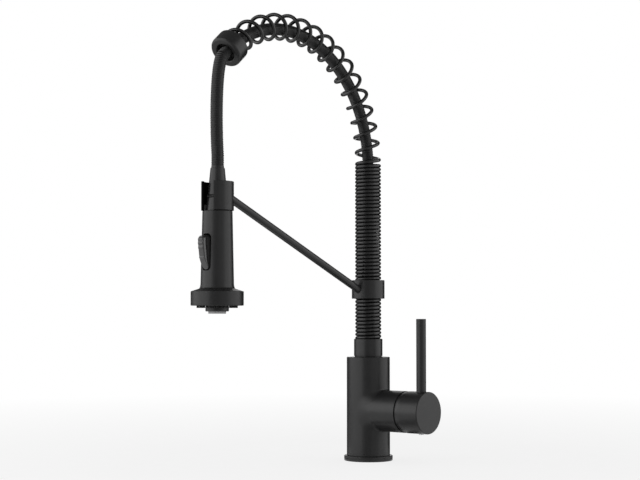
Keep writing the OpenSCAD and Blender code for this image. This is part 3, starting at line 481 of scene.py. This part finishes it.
def make_spring():
    """One wire: close turns up the column, open turns round the arch, and close turns in the collar."""
    end_angle = ARCH_SWEEP - (FRAME_WIRE_D / 2 + COLLAR_WEB + TOUCH_GAP) / ARCH_R
    column = ARCH_Z - SPRING_START
    end_pitch = CLOSE_PITCH * ARCH_R / (ARCH_R - SPRING_R)
    close_turns = column / CLOSE_PITCH
    open_length = (ARCH_R * end_angle - end_pitch * CLOSING_TURNS
                   - (CLOSE_PITCH + PITCH_RISE - end_pitch) * RAMP_TURNS / 2)
    open_turns = open_length / (OPEN_PITCH + PITCH_RISE / 2)
    all_turns = close_turns + open_turns + CLOSING_TURNS

    def ramp(t, turns):
        """Turns gone at full pitch, when the pitch comes in evenly over the first ones."""
        if t <= 0:
            return 0
        return t * t / (2 * turns) if t < turns else t - turns / 2

    def centre(n):
        """Centre of the wire n turns from its foot, and of the coil there."""
        over = n - close_turns
        run = (CLOSE_PITCH * n + PITCH_RISE * ramp(over, open_turns)
               + (OPEN_PITCH - CLOSE_PITCH) * ramp(over, RAMP_TURNS)
               - (OPEN_PITCH + PITCH_RISE - end_pitch) * ramp(over - open_turns, RAMP_TURNS))
        a = max(0.0, (run - column) / ARCH_R)
        middle = arch_point(a, ARCH_R) if a > 0 else Vector((0, 0, SPRING_START + run))
        phase = SPRING_PHASE + 2 * math.pi * n
        out = Vector((0, math.cos(a), math.sin(a)))
        return middle + SPRING_R * (math.cos(phase) * Vector((1, 0, 0)) + math.sin(phase) * out), middle

    count = int(all_turns * RINGS_PER_TURN)
    path = [centre(all_turns * k / count) for k in range(count + 1)]
    rings = []
    for k, (at, middle) in enumerate(path):
        along = (path[min(k + 1, count)][0] - path[max(k - 1, 0)][0]).normalized()
        out = at - middle
        out = (out - out.dot(along) * along).normalized()
        end = min(k, count - k)
        inside = min(1.0, end / RINGS_PER_TURN)   # the first and last turn taper to the frame's own wire
        r = FRAME_WIRE_D / 2 * (1 - inside) + WIRE_D / 2 * inside
        if end < len(END_ROUND):
            r *= END_ROUND[end]
        rings.append(circle(at, out, along.cross(out), r, WIRE_SIDES))
    spring = loft("spring_wire", rings, "matte_black", "spout")
    spring.data.materials[0] = coated(*WIRE_COAT)
    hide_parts("spring_coil")


# ---------------------------------------------------------------- hoses

HOSE_SIDES = 36
RIB_SHARPNESS = 1.5        # over 1, the ribs are wider than the grooves
RIB_STEPS = 6              # rings from one rib to the next in the arch
DROP_RIB_STEPS = 10        # and below it
HALF_STEP = 0.4 * MM       # each way along the hose, to take its direction
PLAIN_END = 1.5 * MM       # hose without ribs at each end of the drop
BEND_STEPS = 400
BEND_PULL = 11.5 * MM      # how far the hose holds its direction below the collar
BEND_TURN = Vector((0, -3.1, 37.1)) * MM   # and above the spray head


def ribbed(path, first_rib, last_rib):
    """Rings round a path of (distance, centre, direction), with ribs between two distances."""
    side = Vector((1, 0, 0))
    rings = []
    for s, at, along in path:
        r = HOSE_D / 2
        if first_rib < s < last_rib:
            wave = 0.5 - 0.5 * math.cos(2 * math.pi * (s - first_rib) / RIB_PITCH)
            r -= RIB_DEPTH * wave ** RIB_SHARPNESS
        rings.append(circle(at, side, along.cross(side), r, HOSE_SIDES))
    return rings


def make_arch_hose():
    """Hose inside the column and the arch, with ribs from the sleeve to just before the collar."""
    straight = ARCH_Z - HOSE_FOOT
    length = straight + ARCH_R * ARCH_SWEEP
    first_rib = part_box("spring_sleeve")[0].z - HOSE_FOOT
    count = int(length / RIB_PITCH * RIB_STEPS)
    path = []
    for k in range(count + 1):
        s = length * k / count
        if s < straight:
            path.append((s, Vector((0, 0, HOSE_FOOT + s)), Vector((0, 0, 1))))
        else:
            a = (s - straight) / ARCH_R
            r = ARCH_R - HOSE_SAG * math.sin(math.pi * a / ARCH_SWEEP)
            path.append((s, arch_point(a, r), Vector((0, -math.sin(a), math.cos(a)))))
    hose = loft("arch_hose", ribbed(path, first_rib, length - HOSE_D), "hose_black", "spout")
    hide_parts("hose_arch")


def make_drop_hose():
    """Hose from the collar to the spray head: a straight end, a bend and a straight end."""
    start = DROP_TOP + HOSE_D * DROP_DIR
    end = DROP_FOOT + Vector((0, 0, HOSE_D))
    pulls = (start, start + BEND_PULL * DROP_DIR, end + BEND_TURN, end)
    bend = [bezier(*pulls, i / BEND_STEPS) for i in range(BEND_STEPS + 1)]
    run = np.concatenate([[0], np.cumsum([(b - a).length for a, b in zip(bend, bend[1:])])])
    bend_length = float(run[-1])
    total = 2 * HOSE_D + bend_length
    xyz = np.array([tuple(p) for p in bend])

    def at(s):
        if s <= HOSE_D:
            return DROP_TOP + s * DROP_DIR
        if s >= HOSE_D + bend_length:
            return DROP_FOOT + Vector((0, 0, total - s))
        return Vector([np.interp(s - HOSE_D, run, xyz[:, c]) for c in range(3)])

    count = int(total / RIB_PITCH * DROP_RIB_STEPS)
    path = []
    for k in range(count + 1):
        s = total * k / count
        along = (at(min(s + HALF_STEP, total)) - at(max(s - HALF_STEP, 0))).normalized()
        path.append((s, at(s), along))
    hose = loft("drop_hose", ribbed(path, PLAIN_END, total - PLAIN_END), "hose_black", None)
    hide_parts("hose_drop")
    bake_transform(hose)


# ---------------------------------------------------------------- casting fillet

BODY_R = 23.35 * MM
HUB_STEP = 0.1 * MM        # from the boss's outside to the hub's
BOSS_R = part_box("handle_hub")[1].y - HUB_STEP
BOSS_Z = 54 * MM
FILLET_FRONT = 9.0 * MM    # how far the fillet reaches at the front and back
FILLET_TOP = 1.4 * MM      # and above and below the boss
FILLET_TURN = 1.5          # over 1, the reach falls off sooner towards the top and bottom
FILLET_PULL = 0.62         # how full the fillet is
FILLET_SINK = 0.4 * MM     # how far its hidden side lies in the casting
FILLET_STEPS = 144
FILLET_ROWS = 12
FILLET_EDGE = math.radians(50)   # its borders stay sharp
SEAM_STEP = 0.001          # turn each way along the seam, in radians, to take its direction
FOOT_STEP = 0.01           # share of the reach, to take the body's slope at the foot


def on_body(arc, z, r=BODY_R):
    """A point on the upright body, from its unrolled place."""
    return np.array([r * math.cos(arc / BODY_R), r * math.sin(arc / BODY_R), z])


def boss_meets_body(t):
    """Place where the boss runs into the body, unrolled on the body."""
    y = BOSS_R * math.cos(t)
    return np.array([BODY_R * math.asin(y / BODY_R), BOSS_Z + BOSS_R * math.sin(t)])


def make_casting_fillet():
    """Cast fillet where the round boss grows out of the body."""
    rings = []
    for k in range(FILLET_STEPS):
        t = 2 * math.pi * k / FILLET_STEPS
        seam = boss_meets_body(t)
        along = boss_meets_body(t + SEAM_STEP) - boss_meets_body(t - SEAM_STEP)
        out = np.array([along[1], -along[0]]) / np.linalg.norm(along)
        reach = FILLET_TOP + (FILLET_FRONT - FILLET_TOP) * abs(math.cos(t)) ** FILLET_TURN
        on_side = on_body(*seam) + np.array([reach, 0, 0])
        foot = seam + reach * out
        on_foot = on_body(*foot)
        slope = (on_body(*(foot - FOOT_STEP * reach * out)) - on_foot) / FOOT_STEP
        pulls = (on_side, on_side - np.array([reach * FILLET_PULL, 0, 0]),
                 on_foot + slope * FILLET_PULL, on_foot)
        row = [bezier(*pulls, i / FILLET_ROWS) for i in range(FILLET_ROWS + 1)]
        inward = np.array([0, math.cos(t), math.sin(t)]) * FILLET_SINK
        hidden_r = BODY_R - FILLET_SINK
        row += [on_body(*foot, hidden_r), on_body(*seam, hidden_r) - inward, on_side - inward]
        rings.append(np.array(row))
    fillet = loft("casting_fillet", rings, "matte_black", "root", round_again=True)
    fillet.data.set_sharp_from_angle(angle=FILLET_EDGE)


# ---------------------------------------------------------------- spray button

PIVOT_OUT = 12.2 * MM      # from the spray head's axis to the button's pivot
PIVOT_DOWN = 40.05 * MM    # and from the top of the shell
BUTTON_PIVOT = Vector((0, -REACH - PIVOT_OUT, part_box("spray_shell")[1].z - PIVOT_DOWN))
BUTTON_H = 33.2 * MM
BUTTON_W = 8.6 * MM
BUTTON_TILT = Matrix.Rotation(math.radians(8), 3, "X")
BUTTON_END_R = 3.6 * MM
BUTTON_OUT = 6.8 * MM      # face, in front of the pivot
BUTTON_IN = 2.3 * MM       # back
BUTTON_PAD = 1.6 * MM      # grey face's thickness at its lower end
BUTTON_CROWN = 1.7 * MM    # how much further in the ends of the face are
CROWN_SHAPE = 4            # over 2, the face is flat between them
LIFT = 3.0 * MM            # the face's upper half stands this much further out
LIFT_FROM = -17 * MM       # the rise starts here, from the pivot
LIFT_TO = -4 * MM          # and ends here
GRIPS = (13.5 * MM, 9.8 * MM, 5.3 * MM)   # raised grips, above the pivot
GRIP_W = 1.25 * MM         # half width
GRIP_H = 0.55 * MM
GRIP_SHAPE = 4             # over 2, a rib has a flat top
DIVIDER = -4.2 * MM        # narrow rib between the two halves of the face
DIVIDER_W = 0.6 * MM       # half width
DIVIDER_SHAPE = 2
DISH = 0.5 * MM            # hollow below it
DISH_END = 2.2 * MM        # face left under the hollow
DISH_SHAPE = 0.7           # under 1, the hollow has a flat floor
SIDE_ROUND = 0.6           # exponents of the section: 1 is an oval, near 0 a rectangle
ROCKER_ROUND = 0.5
FACE_ROUND = 0.36
FACE_W = 0.92              # face's width against the rocker's
BUTTON_STEPS = 150         # rings along it
BUTTON_SIDES = 48
END_SHIFT = 0.25           # share of a step by which the rings next to the ends stand further off


def clamped(share):
    return min(1.0, max(0.0, share))


def button_face(z):
    """Height of the flat face over the pivot's plane, its lift there, and the height of the detail on it."""
    flat = BUTTON_OUT - BUTTON_CROWN * (z / (BUTTON_H / 2)) ** CROWN_SHAPE
    raised = clamped((z - LIFT_FROM) / (LIFT_TO - LIFT_FROM))
    lift = LIFT * (3 - 2 * raised) * raised ** 2
    detail = sum(GRIP_H * math.exp(-((z - g) / GRIP_W) ** GRIP_SHAPE) for g in GRIPS)
    detail += GRIP_H * math.exp(-((z - DIVIDER) / DIVIDER_W) ** DIVIDER_SHAPE)
    below = clamped((DIVIDER - z) / (DIVIDER + BUTTON_H / 2 - DISH_END))
    detail -= DISH * math.sin(math.pi * below) ** DISH_SHAPE
    return flat, lift, detail


def button_part(name, slot, width, roundness, is_face):
    """A tilted bar of rounded section and round ends: the grey face, or the black rocker under it."""
    half = BUTTON_H / 2
    turns = [2 * math.pi * i / BUTTON_SIDES for i in range(BUTTON_SIDES)]
    step = BUTTON_H / (BUTTON_STEPS + 2 * END_SHIFT)
    between = [-half + step * (k + END_SHIFT) for k in range(1, BUTTON_STEPS)]
    rings = []
    for z in (-half, *between, half):
        end = clamped((abs(z) - (half - BUTTON_END_R)) / BUTTON_END_R)
        w = width * (BUTTON_W / 2 - BUTTON_END_R * (1 - math.sqrt(1 - end ** 2)))
        flat, lift, detail = button_face(z)
        low, high = (flat - BUTTON_PAD, flat + lift) if is_face else (-BUTTON_IN, flat - BUTTON_PAD / 2)
        row = []
        for t in turns:
            c, n = math.cos(t), math.sin(t)
            x = w * math.copysign(abs(c) ** roundness, c)
            y = (high + low) / 2 + (high - low) / 2 * math.copysign(abs(n) ** SIDE_ROUND, n)
            if is_face:
                y += detail * max(0.0, n) ** 2
            row.append(tuple(BUTTON_PIVOT + BUTTON_TILT @ Vector((x, -y, z))))
        rings.append(np.array(row))
    return loft(name, rings, slot, "button")


def make_button():
    """Rocker button: a black rocker with a grey face that has grips and a hollow for the thumb."""
    rocker = button_part("button_rocker", "rubber_black", 1.0, ROCKER_ROUND, False)
    button_part("button_face", "button_grey", FACE_W, FACE_ROUND, True)
    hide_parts("diverter_button")


# ---------------------------------------------------------------- build

make_camera()
make_world()
make_floor()
make_softboxes()
make_cards()
finish_nodes()
make_spring()
make_arch_hose()
make_drop_hose()
make_casting_fillet()
make_button()
